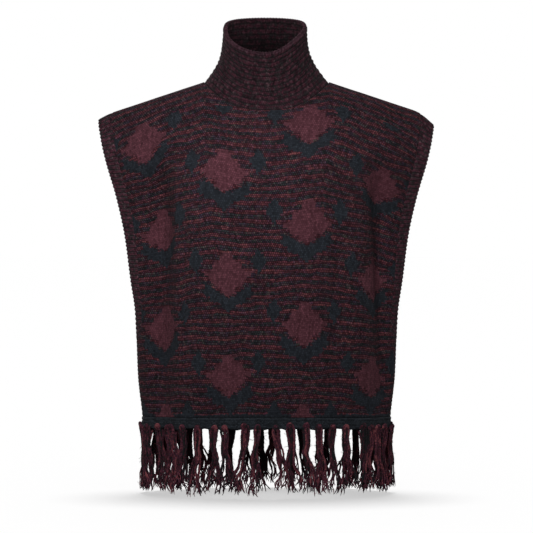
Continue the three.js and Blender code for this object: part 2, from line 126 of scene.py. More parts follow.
# Small creases drawn one by one: from x, z to x, z, half width, depth. A negative depth is a
# raised roll of cloth beside a crease.
CREASES = {
    "front": (
        (-150, -28, -104, -112, 11, 5.5),
        (-128, -30, -84, -108, 13, -3),
        (-176, -60, -150, -118, 12, -2),
        (228, -52, 284, -96, 10, 3.5),
        (150, -26, 112, -84, 12, 3),
        (-40, -400, -52, -560, 18, 2),
        (70, -360, 86, -560, 20, 2.5),
        (-189, -150, -194, -600, 20, 17),
        (-152, -200, -151, -560, 9, 5),
        (204, -160, 211, -600, 19, 15),
        (-62, -120, -70, -440, 42, -8),
        (74, -120, 82, -440, 34, -7),
        (4, -170, -2, -420, 26, 5),
    ),
    "back": (
        (-140, -24, -96, -104, 12, 4.5),
        (146, -26, 104, -98, 12, 4),
        (-10, -60, -14, -160, 26, 3),
        (-230, -56, -282, -98, 11, 3),
        (24, -380, 40, -560, 22, 3),
    ),
}

# Where the collar's cloth bunches: on the front, place across from -1 to 1, half width, height
# and depth
COLLAR_CREASES = (
    (True, -0.22, 0.045, 0.45, 4.2),
    (True, 0.07, 0.035, 0.6, 2.6),
    (True, 0.22, 0.04, 0.5, 4.0),
    (True, 0.46, 0.05, 0.55, 4.2),
    (True, 0.62, 0.06, 0.3, 4.0),
    (True, -0.55, 0.07, 0.35, 3.2),
    (False, -0.3, 0.08, 0.36, 3.6),
    (False, 0.12, 0.07, 0.4, 4.0),
    (False, 0.5, 0.09, 0.3, 3.0),
)


def clamp(value, low=0.0, high=1.0):
    return np.clip(value, low, high)


def smooth(share):
    t = clamp(share)
    return t * t * (3 - 2 * t)


def mix(a, b, share):
    return a + (b - a) * share


def unit(vectors):
    return vectors / np.maximum(np.linalg.norm(vectors, axis=-1, keepdims=True), 1e-12)


def scatter(seed, *shape):
    """Repeatable numbers between -1 and 1."""
    return np.random.default_rng(seed).uniform(-1, 1, shape)


def drift(x, y, seed):
    """Smooth random drift between -1 and 1 over the plane, one step to each unit."""
    table = scatter(seed, 64, 64)
    x, y = np.broadcast_arrays(np.asarray(x, float), np.asarray(y, float))
    col, row = np.floor(x).astype(int), np.floor(y).astype(int)
    s, t = smooth(x - col), smooth(y - row)
    upper = mix(table[row % 64, col % 64], table[row % 64, (col + 1) % 64], s)
    lower = mix(table[(row + 1) % 64, col % 64], table[(row + 1) % 64, (col + 1) % 64], s)
    return mix(upper, lower, t)


def section_tangents(heights, values):
    """Tangents that keep a curve through the values from overshooting them."""
    grade = np.diff(values) / np.diff(heights)
    tangents = np.zeros(len(values))
    product = grade[:-1] * grade[1:]
    total = np.where(product > 0, grade[:-1] + grade[1:], 1)
    tangents[1:-1] = np.where(product > 0, 2 * product / total, 0)
    return tangents


SECTION_HEIGHTS = np.array(SECTIONS["z"], float)
SECTION_CURVES = {
    name: (np.array(values, float), section_tangents(SECTION_HEIGHTS, np.array(values, float)))
    for name, values in SECTIONS.items()
    if name != "z"
}


def section(name, z):
    """One column of the section table at height z."""
    values, tangents = SECTION_CURVES[name]
    heights = SECTION_HEIGHTS
    z = np.clip(z, heights[-1], heights[0])
    k = np.clip(np.searchsorted(-heights, -z, side="right") - 1, 0, len(heights) - 2)
    span = heights[k + 1] - heights[k]
    t = (z - heights[k]) / span
    return (
        values[k] * (2 * t**3 - 3 * t**2 + 1)
        + values[k + 1] * (3 * t**2 - 2 * t**3)
        + span * tangents[k] * (t**3 - 2 * t**2 + t)
        + span * tangents[k + 1] * (t**3 - t**2)
    )


def ridge_height(x):
    """Height of the shoulder seam at x."""
    reach = np.where(x < 0, TIPS[-1]["reach"], TIPS[1]["reach"])
    drop = np.where(x < 0, TIPS[-1]["drop"], TIPS[1]["drop"])
    past = np.maximum(0, np.abs(x) - (SHOULDER["half"] - reach)) / reach
    return NECK["side"] - SHOULDER["slope"] * (np.abs(x) - NECK["half"]) - drop * past**2


def neckline_height(panel, x):
    share = np.minimum(np.abs(x) / NECK["half"], 1) ** NECK["curve"]
    return mix(NECK[panel], NECK["side"], share)


def hem_height(panel, angle):
    rise = HEM["front_rise"] if panel == "front" else 0
    return HEM["height"] + rise * np.cos(angle) ** 2


def shoulder_round(angle):
    return mix(SHOULDER["round_neck"], SHOULDER["round_tip"], np.abs(np.sin(angle)))


def cloth(panel, angle, down):
    """The outer surface of the hanging cloth. angle runs from -90 degrees at the right side to
    90 at the left; down is 0 at the shoulder seam, 1 under the shoulder and 2 at the hem."""
    angle, down = np.broadcast_arrays(np.asarray(angle, float), np.asarray(down, float))
    ridge = ridge_height(SHOULDER["half"] * np.sin(angle))
    turn = np.minimum(down, 1) * QUARTER
    rounded = ridge - shoulder_round(angle) * (1 - np.cos(turn))
    z = mix(rounded, hem_height(panel, angle), np.maximum(0, down - 1))
    half = section("half", z)
    across = half * np.sin(angle)
    arm = section("arm", z)
    full = np.maximum(0, 1 - np.abs(np.sin(angle)) ** SECTION_POWER) ** section("bow", z)
    depth = arm + (section(panel, z) - arm) * full
    for values in FOLDS[panel]:
        fold = dict(zip(FOLD_NAMES, values))
        hung = clamp((fold["start"] - z) / (fold["start"] - HEM["height"]))
        place = np.arcsin(mix(fold["x"], fold["x_hem"], hung) / half)
        opened = smooth((fold["start"] - z) / (fold["start"] - fold["full"]))
        lower = smooth((fold["full"] - z) / (fold["full"] - HEM["height"]))
        amount = opened * mix(1, fold["at_hem"], lower)
        outward = math.copysign(1, fold["x"])
        beside = outward * (angle - place) / fold["width"]
        swing = np.sin(np.pi * beside) * np.maximum(0, 1 - beside**2)
        across = across - outward * fold["lap"] * amount * swing
        depth = depth * (1 - fold["back"] * amount * smooth((beside + 1) / 2))
    for x, width, deep, start in HOLLOWS[panel]:
        near = smooth(1 - np.abs(across - x) / width)
        depth = depth - deep * near * smooth((start - z) / HOLLOW_RUN)
    for x0, z0, x1, z1, width, deep in CREASES[panel]:
        run = np.array([x1 - x0, z1 - z0], float)
        along = clamp(((across - x0) * run[0] + (z - z0) * run[1]) / (run @ run))
        gap = np.hypot(across - x0 - along * run[0], z - z0 - along * run[1])
        ends = smooth(0.4 + 5 * np.minimum(along, 1 - along))
        depth = depth - deep * ends * np.exp(-((gap / width) ** 2))
    y = np.maximum(depth * np.sin(turn), 0.15)
    return np.stack([across, FACING[panel] * y, z], axis=-1)


def down_at(panel, angle, z):
    """How far down the height z lies on the column at angle."""
    ridge = ridge_height(SHOULDER["half"] * np.sin(angle))
    around = shoulder_round(angle)
    turned = np.arccos(clamp(1 - np.maximum(0, ridge - z) / around, -1, 1)) / QUARTER
    below = 1 + (ridge - around - z) / (ridge - around - hem_height(panel, angle))
    return np.where(z > ridge - around, turned, below)


def edge_angle(side, z):
    """Angle of the panel's own edge: the armhole band's seam, and the side seam below it."""
    sewn = clamp((ARMHOLE_END - z) / BAND_SLANT)
    at_band = np.arcsin(1 - section("band", z) / section("half", z))
    return side * mix(at_band, QUARTER, sewn)


def grid_normals(points, facing):
    """Unit normals of a grid of points with rows going down and columns going across."""
    across = np.gradient(points, axis=1)
    down = np.gradient(points, axis=0)
    return unit(np.cross(across, down)) * facing


def measured(points, axis):
    """Distance run along an axis of a grid of points, starting at 0."""
    steps = np.linalg.norm(np.diff(points, axis=axis), axis=-1)
    start = np.zeros_like(np.take(steps, [0], axis=axis))
    return np.concatenate([start, np.cumsum(steps, axis=axis)], axis=axis)


# Motifs: a generic stepped diamond, a chevron under it and two small diamonds beside it, in
# columns staggered by half a step. The same words draw them on numbers and in the shader.
MOTIF = {"column": 150.0, "row": 180.0, "start": 53.0, "step": 4.1, "stagger": 9}
# Half width, half height and height of the middle
DIAMOND = (46, 44, 20)
WING = (15, 24, 44)
WING_PLACE = 60
# Half width, half thickness, slope and height of the point
CHEVRON = (50, 12.5, 0.6, -36)
# The motifs keep clear of the panel's sides and of the shoulder
MOTIF_SIDE, MOTIF_TOP = 296.0, 560.0


def whole(value):
    return value.floor() if isinstance(value, Field) else np.floor(value)


def within(value, limit):
    """1 where the value is no more than the limit."""
    return 1 - value.above(limit) if isinstance(value, Field) else (value <= limit) * 1.0


def motif_masks(u, v):
    """1 inside the mauve diamonds and inside the teal shapes, at u across and v up, in mm."""
    step = MOTIF["step"]
    column = whole(u / MOTIF["column"])
    shift = (column / 2 - whole(column / 2)) * MOTIF["row"]
    cell = (v - MOTIF["start"] + shift) / MOTIF["row"]
    x = whole((u / MOTIF["column"] - column - 0.5) * MOTIF["column"] / step) * step + step / 2
    y = whole((cell - whole(cell) - 0.5) * MOTIF["row"] / step) * step + step / 2
    ridge = whole(y / (2 * step)) / 2
    wide = abs(x) + (ridge - whole(ridge)) * MOTIF["stagger"]
    mauve = within(wide / DIAMOND[0] + abs(y - DIAMOND[2]) / DIAMOND[1], 1.0)
    half, thick, slope, point = CHEVRON
    chevron = within(abs(y - point - wide * slope), thick) * within(wide, half) * (1 - mauve)
    wings = within(abs(abs(x) - WING_PLACE) / WING[0] + abs(y - WING[2]) / WING[1], 1.0)
    field = within(abs(u), MOTIF_SIDE) * within(v, MOTIF_TOP)
    return mauve * field, (chevron + wings) * field


class Field:
    """A number that varies over a surface. It wraps a node's socket, so that arithmetic on it
    adds the Math nodes."""

    def __init__(self, finish, socket):
        self.finish = finish
        self.socket = socket

    def math(self, operation, *others):
        inputs = dict(enumerate((self, *others)))
        return self.finish.add("ShaderNodeMath", {"operation": operation}, inputs)

    def reflected(self, operation, other):
        return self.finish.add("ShaderNodeMath", {"operation": operation}, {0: other, 1: self})

    __add__, __radd__ = partialmethod(math, "ADD"), partialmethod(reflected, "ADD")
    __sub__, __rsub__ = partialmethod(math, "SUBTRACT"), partialmethod(reflected, "SUBTRACT")
    __mul__, __rmul__ = partialmethod(math, "MULTIPLY"), partialmethod(reflected, "MULTIPLY")
    __truediv__, __rtruediv__ = partialmethod(math, "DIVIDE"), partialmethod(reflected, "DIVIDE")
    __pow__, __abs__ = partialmethod(math, "POWER"), partialmethod(math, "ABSOLUTE")
    floor, fract = partialmethod(math, "FLOOR"), partialmethod(math, "FRACT")
    above = partialmethod(math, "GREATER_THAN")
    larger, smaller = partialmethod(math, "MAXIMUM"), partialmethod(math, "MINIMUM")

    def rise(self, low, high):
        """A smooth step from 0 to 1 as this goes from low to high."""
        inputs = {"Value": self, "From Min": low, "From Max": high}
        return self.finish.add("ShaderNodeMapRange", {"interpolation_type": "SMOOTHSTEP"}, inputs)

    def from_middle(self):
        """How far this is from the middle between two whole numbers: 0.5 at a whole one."""
        return abs(self.fract() - 0.5)


class Finish:
    """The nodes of one material, or of the world, while they are drawn up."""

    def __init__(self, owner):
        owner.use_nodes = True
        self.owner = owner
        self.tree = owner.node_tree
        self.tree.nodes.clear()

    def add(self, kind, settings=None, inputs=None, output=0):
        """Adds a node: its settings first, then the values or links of its sockets."""
        node = self.tree.nodes.new(kind)
        for name, value in (settings or {}).items():
            if name == "stops":
                ramp = node.color_ramp
                while len(ramp.elements) < len(value):
                    ramp.elements.new(0.5)
                for element, (place, colour) in zip(ramp.elements, value):
                    element.position = place
                    element.color = (*colour, 1)
            else:
                setattr(node, name, value)
        for name, value in (inputs or {}).items():
            socket = node.inputs[name]
            if isinstance(value, Field):
                self.tree.links.new(value.socket, socket)
            elif socket.type == "RGBA" and len(value) == 3:
                socket.default_value = (*value, 1)
            else:
                socket.default_value = value
        return Field(self, node.outputs[output]) if node.outputs else None

    def vector(self, x, y, z):
        return self.add("ShaderNodeCombineXYZ", None, {"X": x, "Y": y, "Z": z})

    def noise(self, x, y, z, detail=1.0):
        """Smooth noise, about 0.2 to 0.8, one step to each unit."""
        inputs = {"Vector": self.vector(x, y, z), "Scale": 1.0, "Detail": detail}
        return self.add("ShaderNodeTexNoise", None, inputs)

    def dice(self, x, y, z=0.0):
        """A number from 0 to 1 for each whole x and y."""
        return self.add("ShaderNodeTexWhiteNoise", None, {"Vector": self.vector(x, y, z)})

    def blend(self, share, first, second):
        """Colour first where share is 0 and second where it is 1."""
        inputs = {0: share, 6: first, 7: second}
        return self.add("ShaderNodeMix", {"data_type": "RGBA"}, inputs, output=2)

    def shade(self, colour, amount):
        """A colour made lighter or darker by a number."""
        inputs = {0: colour, "Scale": amount}
        return self.add("ShaderNodeVectorMath", {"operation": "SCALE"}, inputs)

    def ramp(self, share, *stops):
        """Colours along share. A stop is its place and its colour."""
        return self.add("ShaderNodeValToRGB", {"stops": stops}, {"Fac": share})

    def cloth_place(self):
        """u across and v along the flat cloth, in millimetres."""
        place = self.add("ShaderNodeUVMap", {"uv_map": "knit"})
        split = self.add("ShaderNodeSeparateXYZ", None, {0: place}).socket.node
        return [Field(self, split.outputs[axis]) * 1000.0 for axis in ("X", "Y")]

    def surface(self, **inputs):
        """Ends the material with a plain shader. Underscores in its inputs stand for spaces."""
        values = {name.replace("_", " "): value for name, value in inputs.items()}
        shader = self.add("ShaderNodeBsdfPrincipled", None, values)
        self.add("ShaderNodeOutputMaterial", None, {"Surface": shader})
        return self.owner

    def wool(self, colour, height, bump):
        """Ends the material as wool: a matt surface with a bump and a soft sheen."""
        relief = {"Strength": bump, "Distance": 0.001, "Height": height}
        return self.surface(
            Base_Color=colour, Roughness=0.95, Normal=self.add("ShaderNodeBump", None, relief),
            Specular_IOR_Level=0.05,
            Sheen_Weight=0.012, Sheen_Roughness=0.55, Sheen_Tint=(0.85, 0.7, 0.75),
        )


def even(line, count):
    """Points spaced evenly along a line, and the line's length."""
    run = measured(line, axis=0)
    places = np.linspace(0, run[-1], count)
    return np.stack([np.interp(places, run, line[:, axis]) for axis in range(3)], axis=1), run[-1]


def curve_through(points, count):
    """Even points along a smooth curve through the given ones."""
    points = np.asarray(points, float)
    ends = np.concatenate([[2 * points[0] - points[1]], points, [2 * points[-1] - points[-2]]])
    t = np.linspace(0, 1, 8, endpoint=False)[:, None]
    parts = []
    for a, b, c, d in zip(ends, ends[1:], ends[2:], ends[3:]):
        low = 2 * b + (c - a) * t
        high = (2 * a - 5 * b + 4 * c - d) * t**2 + (3 * b - a - 3 * c + d) * t**3
        parts.append((low + high) / 2)
    return even(np.concatenate([*parts, points[-1:]]), count)[0]


def rim_arc(outer, inner, along, bulge, turns):
    """Lines that round an edge from its outer line to its inner one."""
    middle, reach = (outer + inner) / 2, (outer - inner) / 2
    return [middle + reach * math.cos(t) + along * math.sin(t) * bulge for t in turns]


def put(name, data):
    """Puts an object with this data into the scene."""
    obj = bpy.data.objects.new(name, data)
    bpy.context.scene.collection.objects.link(obj)
    return obj


class Shape:
    """Points, faces and cloth places of one piece, gathered part by part."""

    def __init__(self):
        self.points, self.faces, self.places = [], [], []
        self.count = 0

    def loft(self, sections, u, v, ring=False):
        """Skins closed cross sections. With ring the last joins the first, otherwise both ends
        are capped. u and v have one more column than the sections, and in a ring one more row."""
        u, v = np.broadcast_arrays(u, v)
        length, around = sections.shape[:2]
        row, col = np.arange(length if ring else length - 1)[:, None], np.arange(around)
        corners = [(row, col), (row + 1, col), (row + 1, col + 1), (row, col + 1)]
        index = [(r % length) * around + c % around for r, c in corners]
        places = np.stack([np.stack([u[at], v[at]], axis=-1) for at in corners], axis=2)
        self.points.append(sections.reshape(-1, 3))
        self.faces += (np.stack(index, axis=-1).reshape(-1, 4) + self.count).tolist()
        self.places += places.reshape(-1, 2).tolist()
        if not ring:
            for at, order in ((0, 1), (length - 1, -1)):
                loop = np.arange(around)[::order]
                self.faces.append((self.count + at * around + loop).tolist())
                self.places += np.stack([u[at, loop], v[at, loop]], axis=-1).tolist()
        self.count += length * around

    def piece(self, name, finish, slot, node, flat=None, held=None):
        """Makes the Blender object, with its faces turned outward, checks that it is closed and
        gives it its place in the frame. flat, a sheet's cut size, and held, how it is held, are not
        used."""
        mesh = bpy.data.meshes.new(name)
        mesh.from_pydata((np.concatenate(self.points) * MM).tolist(), [], self.faces)
        layer = mesh.uv_layers.new(name="knit")
        layer.data.foreach_set("uv", (np.array(self.places) * MM).ravel())
        shell = bmesh.new()
        shell.from_mesh(mesh)
        bmesh.ops.recalc_face_normals(shell, faces=shell.faces)
        open_edges = sum(not edge.is_manifold for edge in shell.edges)
        shell.to_mesh(mesh)
        shell.free()
        if open_edges:
            raise RuntimeError(f"{name} isn't closed: {open_edges} open edges")
        mesh.shade_smooth()
        mesh.materials.append(finish)
        obj = put(name, mesh)
        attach(obj, "root")
        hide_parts(node)


def knit_surface(panel, rows, columns, pitch):
    """Even knitting over one panel: a grid of rows from the shoulder to the hem, with its
    normals, its place on the flat cloth and the first row of each column below the neckline."""
    angles = np.linspace(-QUARTER, QUARTER, 361)
    downs = np.linspace(0, 2, 501)
    lengths = measured(cloth(panel, angles[:, None], downs), axis=1)
    # Under the collar the rows run level, not up to the point where the shoulders would meet
    level = np.minimum(np.abs(SHOULDER["half"] * np.sin(angles)) / NECK["half"], 1) ** 4
    level = NECK["side"] + SHOULDER["slope"] * NECK["half"] / 4 * (1 - level)
    starts = np.where(level > NECK["side"], down_at(panel, angles, level), 0)
    upward = 1 - np.linspace(0, 1, rows + 1)
    hung = [line[-1] - np.interp(begin, downs, line) for line, begin in zip(lengths, starts)]
    down = np.zeros((rows + 1, len(angles)))
    for col, line in enumerate(lengths):
        # The rows follow the shoulder at the top and soon hang level
        from_hem = max(hung) * upward - (max(hung) - hung[col]) * upward**1.7
        down[:, col] = np.interp(line[-1] - from_hem, line, downs)
    base = cloth(panel, angles, down)
    widths = measured(base, axis=1)
    cut_width = float(widths[:, -1].mean())
    middle = len(angles) // 2
    angle, place, u, v = grid = np.zeros((4, rows + 1, columns + 1))
    v += (rows - np.arange(rows + 1)[:, None]) * pitch / ROWS
    slope = np.gradient(down, axis=0)
    spacing = np.zeros(rows + 1)
    for row, run in enumerate(widths):
        edges = []
        for side, part in ((-1, slice(0, middle)), (1, slice(middle, None))):
            gap = angles[part] - edge_angle(side, base[row, part, 2])
            edge = np.interp(0, gap, angles[part])
            hidden = BAND_LAP if abs(edge) < QUARTER - 1e-4 else 0.0
            edges.append(np.clip(np.interp(edge, angles, run) + side * hidden, 0, run[-1]))
        across = np.linspace(*edges, columns + 1)
        spacing[row] = (edges[1] - edges[0]) / columns
        angle[row] = np.interp(across, run, angles)
        u[row] = (across / run[-1] - 0.5) * cut_width
        waver = 4.2 * drift(u[row] / 46, v[row] / 38, 11)
        waver = waver + 1.4 * drift(u[row] / 16, v[row] / 14, 12)
        waver = waver * smooth(min(row, rows - row) / 8) * ROWS / pitch
        place[row] = np.interp(angle[row], angles, down[row])
        place[row] += waver * np.interp(angle[row], angles, slope[row])
    normals = grid_normals(cloth(panel, angle, place), FACING[panel])
    x = SHOULDER["half"] * np.sin(angle)
    neck = down_at(panel, angle, neckline_height(panel, x))
    under = place - np.where(np.abs(x) < NECK["half"], neck, 0)
    # Each column starts exactly at the neckline
    top = np.zeros(columns + 1, int)
    exact = np.zeros(columns + 1)
    for col in range(columns + 1):
        first = int(np.argmax(under[:, col] > 1e-9))
        if first < 2:
            continue
        low, high = under[first - 1, col], under[first, col]
        share = -low / (high - low)
        top[col] = first - 1
        exact[col] = first - 1 + share
        for values in (*grid, normals):
            values[first - 1, col] = mix(values[first - 1, col], values[first, col], share)
    row, col = np.arange(rows + 1)[:, None], np.arange(columns + 1)
    from_top = np.maximum(row - exact, 0) * pitch / ROWS
    from_side = np.minimum(col, columns - col) * spacing[:, None]
    from_hem = (rows - row) * pitch / ROWS
    return {
        "points": cloth(panel, angle, place),
        "normals": unit(normals),
        "u": u,
        "v": v,
        "top": top,
        "edge": np.minimum(np.minimum(from_top, from_side), WALL + from_hem),
        "flat": (float((spacing * columns).mean()), float(lengths[:, -1].mean())),
    }


def shell_of(surface, outer, inner):
    """Closes an outer grid and an inner grid of half the columns, both cut at the neckline."""
    rows, columns = outer.shape[0] - 1, outer.shape[1] - 1
    top = surface["top"]
    shape = Shape()
    index, places, quads, others = [], [], [], []
    for grid, step, order in ((outer, 1, 1), (inner, 2, -1)):
        kept = np.arange(rows + 1)[:, None] >= top[::step]
        numbers = np.full(kept.shape, -1)
        numbers[kept] = np.arange(kept.sum()) + sum(len(part) for part in shape.points)
        index.append(numbers)
        shape.points.append(grid[kept])
        places.append(np.stack([surface[name][:, ::step][kept] for name in "uv"], axis=1))
        for col, (left, right) in enumerate(zip(top[::step], top[step::step])):
            full = max(left, right)
            a, b = numbers[full:, col], numbers[full:, col + 1]
            quads.append(np.stack([a[:-1], a[1:], b[1:], b[:-1]], axis=1)[:, ::order])
            corners = [(numbers[at, col], numbers[at + 1, col], b[0]) for at in range(left, full)]
            for at in range(right, full):
                corners.append((numbers[at + 1, col + 1], numbers[at, col + 1], a[0]))
            others += [corner[::order] for corner in corners]
    front, back = index
    for col in range(0, columns, 2):
        for ends, order in ((top, -1), (np.full(columns + 1, rows), 1)):
            here = ends[col : col + 3]
            loop = [front[r, c] for r, c in zip(here, range(col, col + 3))]
            loop += [back[here[2], col // 2 + 1], back[here[0], col // 2]]
            others.append(loop[::order])
    for col, order in ((0, 1), (columns, -1)):
        line, inside = front[top[col] :, col], back[top[col] :, col // 2]
        quads.append(np.stack([line[:-1], inside[:-1], inside[1:], line[1:]], axis=1)[:, ::order])
    quads = np.concatenate(quads)
    shape.faces = quads.tolist() + others
    corners = np.concatenate([quads.ravel(), *others])
    shape.places = np.concatenate(places)[corners].tolist()
    return shape


def seam_point(panel, x):
    """A place on the neckline's seam."""
    angle = np.arcsin(x / SHOULDER["half"])
    points = cloth(panel, angle, down_at(panel, angle, neckline_height(panel, x)))
    points[..., 1] = np.where(np.abs(x) > NECK["half"] - 0.01, 0, points[..., 1])
    return points


def collar_grid(stations, ups):
    """The collar's outer face without its welts. stations runs from 0 at the right side over the
    front, 1 at the left side and back to 2; ups is 0 at the seam and 1 at the rim."""
    x = -NECK["half"] * np.cos(np.pi * stations)
    at_front = (stations % 2) < 1
    foot = np.where(at_front[:, None], seam_point("front", x), seam_point("back", x))
    share = x / NECK["half"]
    out = np.sqrt(np.maximum(0, 1 - share**2))
    rims = [
        mix(RIM["side"], height, out ** mix(right, left, smooth(0.5 + 1.25 * share)))
        for height, right, left in (RIM["front"], RIM["back"])
    ]
    up = np.asarray(ups, float)[:, None]
    spread = np.maximum(0, 1 - up) ** COLLAR["flare"]
    top_x = COLLAR["shift"] + COLLAR["half"] * share
    top_y = np.where(at_front, -COLLAR["front"], COLLAR["back"]) * out
    top_z = np.where(at_front, *rims)
    x, y = mix(top_x, foot[:, 0], spread), mix(top_y, foot[:, 1], spread)
    return np.stack([x, y, mix(foot[:, 2], top_z, up)], axis=-1)


def ring_normals(points):
    """Outward normals of a grid whose columns close round."""
    padded = np.concatenate([points[:, -1:], points, points[:, :1]], axis=1)
    across = (padded[:, 2:] - padded[:, :-2]) / 2
    return unit(np.cross(across, np.gradient(points, axis=0)))


def stitches(u, v, wide, tall):
    """Brick-laid stitches: the number of each across and down, and a bead that is 1 at its
    middle and 0 at its corners."""
    course = v / tall
    row = course.floor()
    column = u / wide + (row * 0.5).fract()
    beside, above = column.from_middle() * 2, course.from_middle() * 2
    return column.floor(), row, (1 - beside * beside) * (1 - above * above)


def plain_knit(u, v):
    """The V-shaped stitches of plain knitting, 0 between wales and 1 on top of a leg."""
    leg = (u / 2.7).from_middle()
    slant = (v / 2.05 + leg * 1.4).from_middle() * 2
    return (1 - slant**2.0) * leg.rise(0.0, 0.12) * leg.rise(0.5, 0.36)


def body_knit(yarn, pitch):
    """Ground of space-dyed wool striped in wine red and slate, with plain motifs."""
    finish = Finish(bpy.data.materials.new("body knit"))
    u, v = finish.cloth_place()
    wander = (finish.noise(u / 9, v / 14, 5.0) - 0.5) * 3.0
    column, row, bead = stitches(u, v + wander, 3.7, pitch / 2)
    dice, odd, mottle = (finish.dice(column, row, seed) for seed in (0.0, 7.0, 13.0))
    stripes = (row + 0.5) / 4
    number = stripes.floor()
    run = finish.noise(u / 34, row * 5.37, 2.0, detail=2.0) + (odd - 0.5) * 0.2
    red = finish.ramp(
        run,
        (0.30, (0.0205, 0.0086, 0.0115)), (0.42, (0.0308, 0.0096, 0.0134)),
        (0.54, (0.0432, 0.0128, 0.0166)), (0.70, (0.0595, 0.0195, 0.0212)),
    )
    shift = finish.noise(u / 26, row * 3.11, 9.0, detail=2.0) + (dice - 0.5) * 0.3
    dark = finish.ramp(
        shift,
        (0.30, (0.0092, 0.0104, 0.0114)), (0.42, (0.0124, 0.0130, 0.0148)),
        (0.52, (0.0172, 0.0122, 0.0180)), (0.62, (0.0208, 0.0100, 0.0132)),
        (0.74, (0.0160, 0.0156, 0.0148)),
    )
    away = (stripes + 0.25).from_middle() * 4 - 1
    broad = finish.noise(u / 20, number * 2.3, 6.0)
    share = (away + (broad - 0.5) * 1.5 + (odd - 0.5) * 0.6).rise(-0.35, 0.35)
    ground = finish.blend(share, red, dark)
    ground = finish.blend(dice.above(0.88) * 0.14 * mottle, ground, yarn.fleck)
    ground = finish.blend(odd.above(0.88) * 0.35, ground, (0.026, 0.0125, 0.028))
    ground = finish.blend(mottle.above(0.9) * share * 0.3, ground, (0.028, 0.022, 0.017))
    # The bead factor paints shade between the stitches; mottle gives each stitch its own tone
    ground = finish.shade(ground, (0.52 + 0.96 * mottle) * (0.56 + 0.95 * bead))
    wale = finish.dice((u / 3.2).floor(), (v / 40).floor(), 3.0)
    soft = finish.noise(u / 14, v / 14, 4.0, detail=2.0)
    # Inside the motifs the bead factor also paints shade between the stitches
    plain = (0.6 + 0.8 * mottle * bead + 0.3 * odd) * (0.9 + 0.2 * wale) * (0.75 + 0.5 * soft)
    mauve, teal = motif_masks(u + (dice - 0.5) * 2.4, v + wander + (odd - 0.5) * 2.0)
    # A teal line ends the panel at the hem
    teal = teal.larger(within(v + (dice - 0.5) * 3, 5.0) * (1 - mauve))
    colour = finish.blend(mauve, ground, finish.shade(yarn.mauve, plain))
    colour = finish.blend(teal, colour, finish.shade(yarn.teal, plain))
    motif = (mauve + teal).smaller(1.0)
    height = bead * (1 - motif) + (plain_knit(u, v) * 0.6 + mottle * 0.4) * motif
    # Painted shade on the low parts of the stitches
    colour = finish.shade(colour, 0.8 + 0.35 * height)
    return finish.wool(colour, height + mottle * 0.4, 0.9)


def rib_knit(yarn, pitch, name, tint, seam=None):
    """Marled ridges over dark grooves, with painted shade on the collar's inner face, where v is
    below -50, and less of it near the rim. seam is the place of a line of light stitches, on a
    collar whose rim is also lighter."""
    finish = Finish(bpy.data.materials.new(name))
    u, v = finish.cloth_place()
    v = v + (finish.noise(u / 11, v / 9, 6.0) - 0.5) * 4.0
    column, row, bead = stitches(u, v, 3.3, pitch / 2)
    dice, odd = (finish.dice(column, row, seed) for seed in (3.0, 11.0))
    ridge = v / pitch
    patch = finish.noise(u / 7, v / 4, 8.0)
    groove = ridge.from_middle() + (dice - 0.5) * 0.4 + (patch - 0.5) * 0.75
    groove = groove.rise(0.08, 0.36)
    dash = finish.noise(u / 9, ridge.floor() * 7.7, 1.0, detail=2.0) + (odd - 0.5) * 0.26
    marl = finish.ramp(
        dash,
        (0.36, (0.017, 0.0085, 0.0115)), (0.46, (0.030, 0.0100, 0.0155)),
        (0.58, (0.048, 0.0150, 0.0225)), (0.72, (0.062, 0.0220, 0.0310)),
    )
    low = finish.ramp(dash, (0.3, (0.0115, 0.0100, 0.0105)), (0.8, (0.0200, 0.0095, 0.0130)))
    colour = finish.blend(groove, marl, low)
    colour = finish.blend(odd.above(0.88) * dice * 0.22, colour, yarn.fleck)
    if seam is not None:
        dots = within(abs(u - seam), 3.6) * (1 - groove) * v.rise(24.0, 36.0) * bead
        colour = finish.blend(dots * v.rise(80.0, 66.0) * 0.7, colour, yarn.fleck)
        rim = v.rise(86.0, 89.5) * (0.45 + 0.4 * odd)
        colour = finish.blend(rim, colour, (0.056, 0.023, 0.033))
    # Painted shade darkens the collar's inner face, less of it towards the rim
    painted_inside_shade = 0.28 + 0.6 * v.rise(48.0 - WRONG_SIDE, 88.0 - WRONG_SIDE)
    broad = finish.noise(u / 60, v / 60, 2.0)
    shading = (0.55 + 0.9 * dice) * (0.65 + 0.75 * bead) * (0.78 + 0.44 * broad)
    shading = shading * (painted_inside_shade + (1 - painted_inside_shade) * v.above(-50.0))
    return finish.wool(finish.shade(colour, shading * tint), bead + 0.5 * dice, 0.8)


def border_knit(yarn):
    """Dark teal border."""
    finish = Finish(bpy.data.materials.new("border knit"))
    u, v = finish.cloth_place()
    column, row, bead = stitches(u, v, 3.2, 3.0)
    dice = finish.dice(column, row, 5.0)
    soft = finish.noise(u / 12, v / 6, 4.0, detail=2.0)
    shading = (0.7 + 0.4 * bead) * (0.6 + 0.8 * dice) * (0.6 + 0.8 * soft)
    return finish.wool(finish.shade(yarn.border, shading), bead + 0.5 * dice, 0.8)


# On the fringe a cord's number is u / CORD_PLACE, and the places v of frayed plies and fibres
# begin at LOOSE
CORD_PLACE = 20
LOOSE = 4000.0


